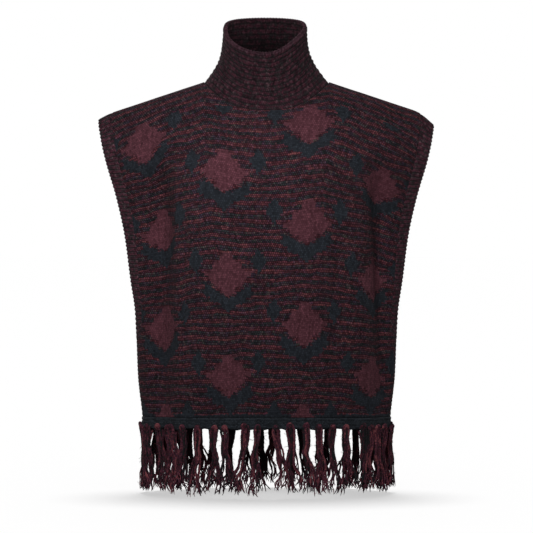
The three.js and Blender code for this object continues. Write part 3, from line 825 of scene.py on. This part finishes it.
def fringe_yarn():
    """Plied yarn whose dye changes along it and from cord to cord."""
    finish = Finish(bpy.data.materials.new("fringe yarn"))
    u, v = finish.cloth_place()
    cord = (u / CORD_PLACE).floor()
    around = (u / CORD_PLACE).fract()
    dye = finish.noise(v / 19, cord * 9.17, 3.0, detail=2.0)
    mottle = finish.noise(v / 2.8, around * 4, cord * 3.3, detail=2.0)
    own = finish.dice(cord, 3.0)
    colour = finish.ramp(
        dye * 1.3 - 0.17 + (own - 0.5) * 0.42 + (mottle - 0.5) * 1.15,
        (0.30, (0.008, 0.009, 0.010)), (0.41, (0.024, 0.008, 0.012)),
        (0.49, (0.054, 0.012, 0.017)), (0.57, (0.022, 0.014, 0.027)),
        (0.65, (0.068, 0.015, 0.021)), (0.80, (0.120, 0.036, 0.041)),
    )
    fibres = finish.noise(v / 1.4 + around * 14, around * 22, cord)
    light = (0.1 + 1.9 * fibres) * (1 + 0.45 * v.above(LOOSE))
    return finish.wool(finish.shade(colour, light), fibres, 0.6)


def knit_panel(knit, finish, panel):
    """One panel with its raised courses, which end at the plain motifs."""
    rows = knit.ridges * ROWS
    surface = knit_surface(panel, rows, knit.columns, knit.ridge_pitch / MM)
    points, normals, edge = (surface[name] for name in ("points", "normals", "edge"))
    mauve, teal = motif_masks(surface["u"], surface["v"])
    plain = clamp(mauve + teal)
    for axis in (0, 1):
        plain = (np.roll(plain, 1, axis) + plain * 2 + np.roll(plain, -1, axis)) / 4
    profile = np.array([0, 0.72, 1, 0.72])[np.arange(rows + 1) % ROWS][:, None]
    lively = 1 + 0.35 * drift(surface["u"] / 22, surface["v"] / 7.5, 21)
    relief = knit.ridge_relief / MM * mix(profile * lively, 0.55, plain)
    relief = relief * smooth(edge / 5) - 1.5 * (1 - smooth(edge / 4))
    inside = WALL + 0.5 * profile * smooth(edge / 5)
    outer = points + normals * relief[..., None]
    inner = (points - normals * inside[..., None])[:, ::2]
    if panel == "front":
        for grid, step in ((outer, 1), (inner, 2)):
            grid[0, :, 1] += SEAM_LAP * (surface["top"][::step] == 0)
            for col in (0, -1):
                grid[grid[:, col, 2] < ARMHOLE_END, col, 1] += SEAM_LAP
    shape = shell_of(surface, outer, inner)
    node = f"{panel}_panel"
    shape.piece(f"{panel}_knit", finish, "body_knit", node, surface["flat"], "hung")


class CAPE_OT_knit_panels(bpy.types.Operator):
    """Knit the front and the back panel, which hang from the shoulder seams"""

    bl_idname = "cape.knit_panels"
    bl_label = "Knit panels"

    def execute(self, context):
        knit = context.scene.cape_knit
        finish = body_knit(context.scene.cape_yarn, knit.ridge_pitch / MM)
        for panel in FACING:
            knit_panel(knit, finish, panel)
        return {"FINISHED"}


class CAPE_OT_funnel_collar(bpy.types.Operator):
    """Knit the funnel collar with its horizontal welts"""

    bl_idname = "cape.funnel_collar"
    bl_label = "Funnel collar"

    def execute(self, context):
        knit = context.scene.cape_knit
        pitch = knit.ridge_pitch / MM
        count = knit.collar_columns
        # The flat cloth begins and ends at the middle of the back
        fine = np.linspace(1.5, 3.5, 2001)
        run = measured(collar_grid(fine, [0.55])[0], axis=0)
        stations = np.interp(np.linspace(0, run[-1], count, endpoint=False), run, fine)
        steps = 8
        rows = knit.welts * steps
        row = np.arange(rows + 1)
        up = np.linspace(0, 1, rows + 1)[:, None]
        face = collar_grid(stations, up[:, 0])
        normals = ring_normals(face)
        # The welts waver up and down
        face[..., 2] += 2.0 * drift(stations * 11, up * 5, 33) * np.sin(np.pi * up)
        across = -np.cos(np.pi * stations)
        front = (stations % 2) < 1
        bunch = 1.5 * drift(stations * 5, up * 3, 31) * smooth(up * 4)
        for at_front, place, width, height, deep in COLLAR_CREASES:
            bend = place + 0.05 * np.sin(9 * (up - height))
            near = np.exp(-(((across - bend) / width) ** 2)) * (front == at_front)
            bunch += deep * near * np.exp(-(((up - height) / 0.3) ** 2))
        wave = np.sin(np.pi * row / steps)[:, None] ** 2
        lively = 1 + 0.45 * drift(stations * 22, up * knit.welts, 32)
        relief = knit.welt_relief / MM * wave * lively * smooth(up * 9)
        # The rim is a soft roll
        roll = smooth((up - 0.88) / 0.12)
        relief = relief + 0.8 * roll - 0.8 * (1 - smooth(up * 12)) - bunch
        thick = mix(WALL, COLLAR["wall"], smooth(up * 4)) + 3.0 * roll
        thick = thick + 0.9 * wave * smooth((1 - up) * 20) + bunch
        outer = face + normals * relief[..., None]
        inner = face - normals * thick[..., None]
        # The foot runs on under the neckline's edge
        foot = outer[:1] + np.array([0, 0, -3.4]) - normals[:1] * 1.6
        beads = 1 + 0.22 * np.sin(np.pi * np.arange(count) / 2)[:, None]
        turns = np.linspace(0, np.pi, 8)[1:-1]
        rim = rim_arc(outer[-1], inner[-1], unit(face[-1] - face[-3]), 3.0 * beads, turns)
        sections = np.concatenate([foot, outer, rim, inner[::-1][::2], foot - normals[:1] * 2.4])
        level = row * pitch / steps
        over = rows + np.linspace(0, 2, len(turns))
        v = [[-2], level, over * pitch / steps, level[::-1][::2] - WRONG_SIDE]
        v = np.concatenate([*v, [-4 - WRONG_SIDE, -2]])
        u = (np.arange(count + 1) * run[-1] / count)[:, None]
        # The light stitches run just to the wearer's left of the front's middle
        seam = float(np.interp(2.515, fine, run))
        finish = rib_knit(context.scene.cape_yarn, pitch, "collar knit", 0.78, seam)
        shape = Shape()
        shape.loft(sections.transpose(1, 0, 2), u, v, ring=True)
        flat = (run[-1], float(measured(face, axis=0)[-1].mean()))
        shape.piece("collar_knit", finish, "rib_knit", "collar", flat, "hung")
        return {"FINISHED"}


def band_line(panel, side, part, down):
    """An armhole band's seam (part 0) or its free edge (part 1) on one panel."""
    height = cloth(panel, side * QUARTER, down)[:, 2]
    near_end = smooth(1 - (height - ARMHOLE_END) / 60)
    z = height + 0.45 - BAND_SLANT * near_end * part
    angle = mix(edge_angle(side, np.maximum(z, ARMHOLE_END)), side * QUARTER, part)
    over = z > ridge_height(SHOULDER["half"] * np.sin(angle)) - shoulder_round(angle)
    place = np.where(over, down / down[over].max(), down_at(panel, angle, z))
    return cloth(panel, angle, place)


def knit_band(knit, finish, side, name):
    """One ribbed band, from its front end over the shoulder tip to its back end."""
    pitch = knit.ridge_pitch / MM
    lowest = float(down_at("front", side * QUARTER, ARMHOLE_END))
    turns = np.linspace(-lowest, lowest, 961)
    halves = [cloth(panel, side * QUARTER, np.abs(turns)) for panel in FACING]
    run = measured(np.where(turns[:, None] < 0, *halves), axis=0)
    steps = 6
    count = round(run[-1] / pitch) * steps + 1
    row = np.arange(count)[:, None]
    turn = np.interp(np.linspace(0, run[-1], count), run, turns)
    lines = []
    for part in (0, 1):
        halves = [band_line(panel, side, part, np.abs(turn)) for panel in FACING]
        lines.append(np.where((turn < 0)[:, None], *halves))
    seam, free = lines
    share = np.linspace(0, 1, 9)
    face = mix(seam[:, None], free[:, None], share[:, None])
    normals = grid_normals(face, 1)
    inside = np.array([0, 0, -200])
    outward = np.sign((normals * (face - inside)).sum(axis=(1, 2)))
    normals = normals * outward[:, None, None]
    wave = np.sin(np.pi * row / steps) ** 2
    # The band is thinner where its front and back halves come together
    room = np.minimum(1, np.abs(free[:, 1:2]) / 4)
    lively = 1 + 0.3 * drift(row / steps, share * 3, 40 + side)
    rise = knit.band_relief / MM * wave * lively * smooth(share * 5 + 0.1)
    crown = 0.9 * np.sin(np.pi * share) - 0.9 * (1 - smooth(share * 6))
    outer = face + normals * ((rise + crown) * mix(0.5, 1, room))[..., None]
    inner = face - normals * (WALL * mix(0.6, 1, room))[..., None]
    arc = np.pi * np.array([0.25, 0.5, 0.75])
    rim = rim_arc(outer[:, -1], inner[:, -1], unit(free - seam), 1.8 + 1.5 * wave * room, arc)
    sections = np.concatenate([outer, np.stack(rim, axis=1), inner[:, ::-2]], axis=1)
    width = float(np.linalg.norm(free - seam, axis=1).mean())
    places = np.concatenate([share, [1.03, 1.06, 1.1], share[::-2], [0.0]]) * width
    shape = Shape()
    shape.loft(sections, places, row * pitch / steps)
    node = f"armhole_band_{name}"
    shape.piece(f"armhole_knit_{name}", finish, "rib_knit", node, (width, run[-1]), "stretched")


class CAPE_OT_armhole_bands(bpy.types.Operator):
    """Knit the ribbed band of each armhole"""

    bl_idname = "cape.armhole_bands"
    bl_label = "Armhole bands"

    def execute(self, context):
        knit = context.scene.cape_knit
        finish = rib_knit(context.scene.cape_yarn, knit.ridge_pitch / MM, "band knit", 1.3)
        for side, name in ((-1, "right"), (1, "left")):
            knit_band(knit, finish, side, name)
        return {"FINISHED"}


def hem_line(panel, count):
    """Even places along a panel's hem, with their outward directions and the hem's length."""
    points, length = even(cloth(panel, np.linspace(-QUARTER, QUARTER, 1201), 2.0), count)
    along = unit(np.gradient(points, axis=0) * [1, 1, 0])
    outward = np.stack([along[:, 1], -along[:, 0], 0 * along[:, 0]], axis=1) * -FACING[panel]
    return points, along, outward, length


class CAPE_OT_hem_borders(bpy.types.Operator):
    """Knit the dark border along the hem of each panel"""

    bl_idname = "cape.hem_borders"
    bl_label = "Hem borders"

    def execute(self, context):
        finish = border_knit(context.scene.cape_yarn)
        count = 281
        place = np.arange(count)[:, None]
        share = np.linspace(0, 1, 13)
        drop = mix(0.3, HEM["border"] - 0.8, share)
        sag = 2.0 * drift(place / 5.3, 0, 52) * share
        rise = 0.6 + 0.9 * np.sin(np.pi * share * 3) ** 2 - 0.9 * (1 - smooth(share * 8))
        rise = rise + 0.3 * drift(place / 2.2, share * 4, 51)
        places = np.concatenate([drop, [HEM["border"]], drop[::-3], [0.0]])
        for panel in FACING:
            points, _, outward, length = hem_line(panel, count)
            face = points[:, None] - (drop + sag)[..., None] * UP
            outer = face + outward[:, None] * rise[..., None]
            inner = face - outward[:, None] * WALL
            rim = (outer[:, -1:] + inner[:, -1:]) / 2 - UP * 1.2
            sections = np.concatenate([outer, rim, inner[:, ::-3]], axis=1)
            shape = Shape()
            shape.loft(sections, place * length / count, places)
            name, node, flat = f"hem_border_{panel}", f"hem_fringe_{panel}", (length, HEM["border"])
            shape.piece(name, finish, "fringe_yarn", node, flat, "hung")
        return {"FINISHED"}


class CAPE_OT_fringe(bpy.types.Operator):
    """Loop the plied tassels through the hem border and fray their ends"""

    bl_idname = "cape.fringe"
    bl_label = "Fringe"

    def execute(self, context):
        fringe = context.scene.cape_fringe
        finish = fringe_yarn()
        count = fringe.tassels * 40 + 1
        for panel, seed in (("front", 100), ("back", 200)):
            points, along, outward, _ = hem_line(panel, count)
            shape = Shape()
            chance = np.random.default_rng(seed)
            for number in range(fringe.tassels):
                share = (number + 0.5) / fringe.tassels
                share -= 0.03 * math.sin(2 * math.pi * share)
                at = int(share * (count - 1)) + int(chance.integers(-11, 12))
                at = min(max(at, 12), count - 13)
                make_tassel(shape, chance, fringe, number, points[at], along[at], outward[at])
            shape.piece(f"fringe_{panel}", finish, "fringe_yarn", f"hem_fringe_{panel}")
        return {"FINISHED"}


def make_tassel(shape, chance, fringe, number, root, along, outward):
    """One tassel: cords that loop through the border under a rounded head, and hang."""
    lean = chance.normal(0, 4.5) + (chance.choice((-11, 11)) if chance.random() < 0.3 else 0)
    length = FRINGE["length"] + FRINGE["uneven"] * chance.uniform(-0.8, 0.7)
    head = HEM["border"] * 0.72 + chance.uniform(-3.5, 2.0)
    radius = fringe.cord_thickness / MM / 2
    # The cords of a tassel share their waves
    sway = chance.uniform(-3, 3, 2)

    def placed(local):
        return root + local[:, :1] * along + local[:, 1:2] * outward + local[:, 2:] * UP

    # The head is the loop that holds the bundle to the border
    for lap, reach in ((0.0, 3.9), (1.0, 1.6)):
        crest = 1.3 - 0.8 * lap - head
        arch = [(0.5 + lap, -head - 8), (4.0 + lap, -head - 4), (5.6 + lap, crest)]
        xs = (-reach, -reach, -0.55 * reach, 0.55 * reach, reach, reach)
        arch = [(x, *place) for x, place in zip(xs, arch + arch[::-1])]
        path = placed(curve_through(arch, 16) + [0.8 * chance.normal(), 0, 0])
        add_cord(shape, path, radius * 1.35, outward, number * 10 + 8 + lap * 0.5, lap, taper=False)
    places = [(x, 1) for x in (-6.4, -2.1, 2.1, 6.4)] + [(x, -1) for x in (-4.4, 0.0, 4.4)]
    for k, (x, face) in enumerate(places[: fringe.cords]):
        jitter = chance.uniform(-1, 1, 12)
        own = length + 8 * jitter[0]
        x = x + 1.2 * jitter[1]
        thick = radius * (1 + 0.2 * jitter[2])
        if face > 0:
            line = [(0.5 * x, 1.5, -head - 1.0), (0.7 * x, 4.6, -head - 4.0)]
            line.append((0.95 * x, 4.2, -max(head + 8.5, HEM["border"] + 2)))
        else:
            line = [(0.8 * x, -2.2, -head - 1), (x, -5.6, -head - 4)]
            line.append((x, -4.6, -max(head + 8.5, HEM["border"] + 3)))
        for t in (0.14, 0.26, 0.38, 0.5, 0.62, 0.74, 0.86, 1.0):
            loose = smooth((t - 0.4) / 0.6)
            wave = 2.6 * math.sin(7 * t + sway[0] + 0.8 * jitter[3])
            wave += 1.5 * math.sin(15 * t + sway[1] + 0.9 * jitter[4])
            wave += 0.8 * math.sin(21 * t + 6 * jitter[3])
            across = x * (1 - 0.3 * math.sin(math.pi * min(1, 1.5 * t)) + 0.75 * loose)
            across += wave * min(1, 3 * t) + lean * t + 8 * jitter[5] * loose
            out = face * (2.6 - 1.2 * t) + 4.0 * loose * jitter[6]
            out += 1.4 * math.sin(11 * t + 6 * jitter[7]) * t
            line.append((across, out, -HEM["border"] - own * t))
        path = placed(curve_through(line, 40))
        seed = number * 10 + k + 0.5
        last = int(chance.integers(28, 35))
        add_cord(shape, path[:last], thick, along, seed, jitter[8])
        # The plies come apart near the end
        for _ in range(FRINGE["plies"]):
            spread = chance.normal(0, 1, 3) * [1, 0.6, 0.5]
            strand = path[last - int(chance.integers(2, 9)) :].copy()
            t = np.linspace(0, 1, len(strand))[:, None]
            away = spread[0] * along + spread[1] * outward
            curl = np.sin(t * (4 + 5 * abs(spread[2]))) * chance.normal(0, 1.8)
            strand += away * 5.6 * t**1.4 + along * curl * 2.0 * t
            strand[:, 2] += 4 * abs(spread[2]) * t[:, 0] ** 2
            add_cord(shape, strand, thick * 0.5, along, seed, 0.0, sides=5, lobes=2, loose=True)
        # Loose fibres
        for _ in range(FRINGE["fibres"]):
            at = int(chance.integers(5, 38))
            away = unit(chance.normal(0, 1) * along + chance.normal(0, 0.6) * outward)
            t = np.linspace(0, 1, 6)[:, None]
            bend = chance.normal(0, 3.0, 2)
            hair = path[at] + away * (3.0 + 3.6 * chance.random()) * t
            hair = hair + UP * (bend[0] * t**2 - 2.5 * t) + along * bend[1] * t**2
            add_cord(shape, hair, 0.4, [0.3, 0.3, 0.9], seed, 0.0, sides=3, lobes=1, loose=True)


def add_cord(shape, path, radius, side, seed, phase, sides=8, lobes=3, taper=True, loose=False):
    """Adds a plied cord along a path, with lobes that wind round it. side is a direction that the
    path never runs along. A loose one is a frayed ply or fibre, which has a lighter finish."""
    t = np.linspace(0, 1, len(path))
    radius = radius * (mix(1.0, 0.35, smooth((t - 0.86) / 0.14)) if taper else 1 + 0 * t)
    side = np.asarray(side, float)
    along = unit(np.gradient(path, axis=0))
    first = unit(side - (along @ side)[:, None] * along)
    second = np.cross(along, first)
    run = measured(path, axis=0)
    turn = np.arange(sides) * 2 * np.pi / sides
    wound = turn + (run / FRINGE["twist"] * 2 * np.pi / lobes + 3 * phase)[:, None]
    size = radius[:, None] * (1 + FRINGE["ply_relief"] * np.cos(lobes * wound))
    ring = np.cos(turn)[:, None] * first[:, None] + np.sin(turn)[:, None] * second[:, None]
    around = (CORD_PLACE - 2) * np.arange(sides + 1) / sides + 0.5
    v = (run + 37 * (seed % 7) + LOOSE * loose)[:, None]
    shape.loft(path[:, None] + size[..., None] * ring, math.floor(seed) * CORD_PLACE + around, v)


# The camera's sensor, in mm, and the depth of the place that it looks at, in metres
SENSOR, AIM_DEPTH = 36, -0.09
FLOOR_RADIUS, FLOOR_SIDES = 20, 96
# The lights look at one place, from one distance, in metres. For each: its name, kind, azimuth,
# elevation and spread, in degrees, or metres for the width of an area light.
LIT_PLACE, LIGHT_DISTANCE = Vector((-0.05, 0, -0.26)), 1.5
LIGHTS = (
    ("top", "SUN", -20, 60, 50),
    ("fill", "SUN", 20, 15, 70),
    ("back", "SUN", 190, 18, 60),
    ("right side", "SUN", -112, 12, 60),
    ("left side", "SUN", 112, 12, 60),
    ("overhead", "SUN", 181, 83, 18),
    ("key", "AREA", -4, 22, 0.7),
    ("chest", "SPOT", -4, 20, 28),
)


def toward(azimuth, elevation):
    """The direction to a place round the cape: azimuth is 0 in front of it."""
    level = math.cos(elevation)
    return Vector((math.sin(azimuth) * level, -math.cos(azimuth) * level, math.sin(elevation)))


class CAPE_OT_studio(bpy.types.Operator):
    """Set the floor, the soft lights and the camera"""

    bl_idname = "cape.studio"
    bl_label = "Studio"

    def execute(self, context):
        studio = context.scene.cape_studio
        scene = context.scene
        finish = Finish(bpy.data.materials.new("pale floor"))
        finish.surface(
            Base_Color=studio.floor_colour, Roughness=0.9, Specular_IOR_Level=0.1,
            Emission_Color=studio.floor_colour, Emission_Strength=studio.floor_glow,
        )
        mesh = bpy.data.meshes.new("floor")
        turn = np.linspace(0, 2 * np.pi, FLOOR_SIDES, endpoint=False)
        height = np.full(FLOOR_SIDES, studio.floor_height)
        ring = [FLOOR_RADIUS * np.cos(turn), FLOOR_RADIUS * np.sin(turn), height]
        mesh.from_pydata(np.stack(ring, axis=1).tolist(), [], [list(range(FLOOR_SIDES))])
        mesh.materials.append(finish.owner)
        floor = put("floor", mesh)
        floor.visible_diffuse = False

        # The camera sees white behind the cape, and the cape gets less light from there
        scene.world = bpy.data.worlds.new("studio")
        world = Finish(scene.world)
        surround = world.add("ShaderNodeBackground", None, {"Strength": studio.surround})
        backdrop = world.add("ShaderNodeBackground", None, {"Color": (1, 1, 1)})
        seen = world.add("ShaderNodeLightPath")
        either = world.add("ShaderNodeMixShader", None, {0: seen, 1: surround, 2: backdrop})
        world.add("ShaderNodeOutputWorld", None, {"Surface": either})
        scene.view_settings.view_transform = "Standard"
        # The overhead light is for the floor alone, and the others leave the floor out
        for name, kind, azimuth, elevation, spread in LIGHTS:
            lamp = bpy.data.lights.new(name, kind)
            if kind == "AREA":
                lamp.shape = "DISK"
                lamp.size = spread
            elif kind == "SPOT":
                lamp.spot_size = math.radians(spread)
                lamp.spot_blend = 1.0
                lamp.shadow_soft_size = 0.25
            else:
                lamp.angle = math.radians(spread)
            lamp.energy = getattr(studio, f"{name.split()[-1]}_power")
            light = put(name, lamp)
            way = toward(math.radians(azimuth), math.radians(elevation))
            light.location = LIT_PLACE + LIGHT_DISTANCE * way
            light.rotation_euler = way.to_track_quat("Z", "Y").to_euler()
            light.visible_camera = False
            receivers = bpy.data.collections.new(f"{name} receivers")
            receivers.objects.link(floor)
            state = "INCLUDE" if name == "overhead" else "EXCLUDE"
            receivers.collection_objects[0].light_linking.link_state = state
            light.light_linking.receiver_collection = receivers

        lens = bpy.data.cameras.new("camera")
        lens.sensor_width = SENSOR
        lens.lens = SENSOR * studio.distance / studio.frame_width
        lens.clip_end = 60
        camera = put("camera", lens)
        aim = Vector((0, AIM_DEPTH, studio.aim_height))
        camera.location = aim + studio.distance * toward(0, studio.elevation)
        camera.rotation_euler = (aim - camera.location).to_track_quat("-Z", "Y").to_euler()
        scene.camera = camera
        return {"FINISHED"}


def setting(kind, name, description, default, low=None, high=None, **more):
    """One of the add-on's properties. low and high are its limits, where it has any."""
    if low is not None:
        more["min"] = low
    if high is not None:
        more["max"] = high
    return kind(name=name, description=description, default=default, **more)


def metres(*values):
    return setting(FloatProperty, *values, precision=4, unit="LENGTH")


def rgb(*values):
    return setting(FloatVectorProperty, *values, 0, 1, subtype="COLOR")


class CapeKnit(bpy.types.PropertyGroup):
    """Sizes of the knitting"""

    ridge_pitch: metres(
        "Ridge pitch", "Height of one knitted ridge on the flat cloth", 0.0075, 0.002, 0.03
    )
    ridge_relief: metres("Ridge relief", "How far a ridge stands out", 0.0008, 0, 0.004)
    ridges: setting(IntProperty, "Ridges", "Ridges from the shoulder seam to the hem", 84, 20, 90)
    columns: setting(
        IntProperty, "Columns", "Columns of each panel's outer face, an even number",
        180, 40, 220, step=2,
    )
    welts: setting(IntProperty, "Welts", "Horizontal welts of the collar", 12, 4, 24)
    welt_relief: metres("Welt relief", "How far a welt stands out of the collar", 0.0014, 0, 0.005)
    collar_columns: setting(IntProperty, "Collar columns", "Columns round the collar", 320, 64, 400)
    band_relief: metres("Rib relief", "How far a rib stands out of a band", 0.0009, 0, 0.004)


class CapeYarn(bpy.types.PropertyGroup):
    """Colours of the yarns"""

    mauve: rgb("Mauve", "Yarn of the diamonds", (0.070, 0.0235, 0.0315))
    teal: rgb("Teal", "Yarn of the dark shapes", (0.0145, 0.0175, 0.0225))
    border: rgb("Border", "Yarn of the hem border", (0.015, 0.018, 0.022))
    fleck: rgb("Fleck", "Light flecks in the marled yarn", (0.080, 0.052, 0.056))


class CapeFringe(bpy.types.PropertyGroup):
    """Sizes of the fringe"""

    tassels: setting(IntProperty, "Tassels", "Tassels on each panel", 22, 4, 40)
    cords: setting(IntProperty, "Cords", "Plied cords in each tassel", 7, 2, 7)
    cord_thickness: metres("Cord thickness", "Thickness of one plied cord", 0.0040, 0.001, 0.01)


def power(name, description, default):
    return setting(FloatProperty, name, description, default, 0)


class CapeStudio(bpy.types.PropertyGroup):
    """The floor, the lights and the camera"""

    floor_height: metres(
        "Floor height", "Height of the floor, just under the fringe", cad_bounds[0][2] - 0.004
    )
    floor_colour: rgb("Floor colour", "Colour of the floor", (0.9, 0.9, 0.9))
    floor_glow: power("Floor glow", "Light that the floor adds to what falls on it", 0.6)
    surround: power("Surround", "Strength of the light from all sides", 0.14)
    key_power: power("Key light", "Power of the main lamp", 21.5)
    chest_power: power("Chest light", "Power of the soft spot on the chest", 44.0)
    fill_power: power("Fill light", "Strength of the light from the front left", 0.06)
    top_power: power("Top light", "Strength of the light above", 0.2)
    back_power: power("Back light", "Strength of the light from behind", 2.4)
    side_power: power("Side lights", "Strength of the lights from the sides", 1.1)
    overhead_power: power("Overhead light", "Strength of the light on the floor", 1.3)
    distance: metres("Camera distance", "Distance of the camera from the cape", 4.5, 1)
    frame_width: metres("Frame width", "Width that the camera shows at the cape", 0.978, 0.1)
    aim_height: metres("Aim height", "Height at which the camera looks", -0.3358)
    elevation: setting(
        FloatProperty, "Elevation", "Angle at which the camera looks down", math.radians(1.5),
        subtype="ANGLE",
    )


STEPS = (
    CAPE_OT_knit_panels,
    CAPE_OT_funnel_collar,
    CAPE_OT_armhole_bands,
    CAPE_OT_fringe,
    CAPE_OT_hem_borders,
    CAPE_OT_studio,
)


class CAPE_PT_sidebar(bpy.types.Panel):
    """Lists the steps that build the cape, with their settings"""

    bl_idname = "CAPE_PT_sidebar"
    bl_label = "Knit cape"
    bl_space_type = "VIEW_3D"
    bl_region_type = "UI"
    bl_category = "Knit cape"

    def draw(self, context):
        layout = self.layout
        for name in SETTINGS:
            group = getattr(context.scene, name)
            box = layout.box()
            for field in group.__annotations__:
                box.prop(group, field)
        for step in STEPS:
            layout.operator(step.bl_idname)


SETTINGS = {
    "cape_knit": CapeKnit,
    "cape_yarn": CapeYarn,
    "cape_fringe": CapeFringe,
    "cape_studio": CapeStudio,
}
CLASSES = (*SETTINGS.values(), *STEPS, CAPE_PT_sidebar)


def register():
    for cls in CLASSES:
        bpy.utils.register_class(cls)
    for name, cls in SETTINGS.items():
        setattr(bpy.types.Scene, name, PointerProperty(type=cls))


def unregister():
    for name in SETTINGS:
        delattr(bpy.types.Scene, name)
    for cls in reversed(CLASSES):
        bpy.utils.unregister_class(cls)


def main():
    register()
    for step in STEPS:
        family, name = step.bl_idname.split(".")
        getattr(getattr(bpy.ops, family), name)()


if __name__ == "__main__":
    main()
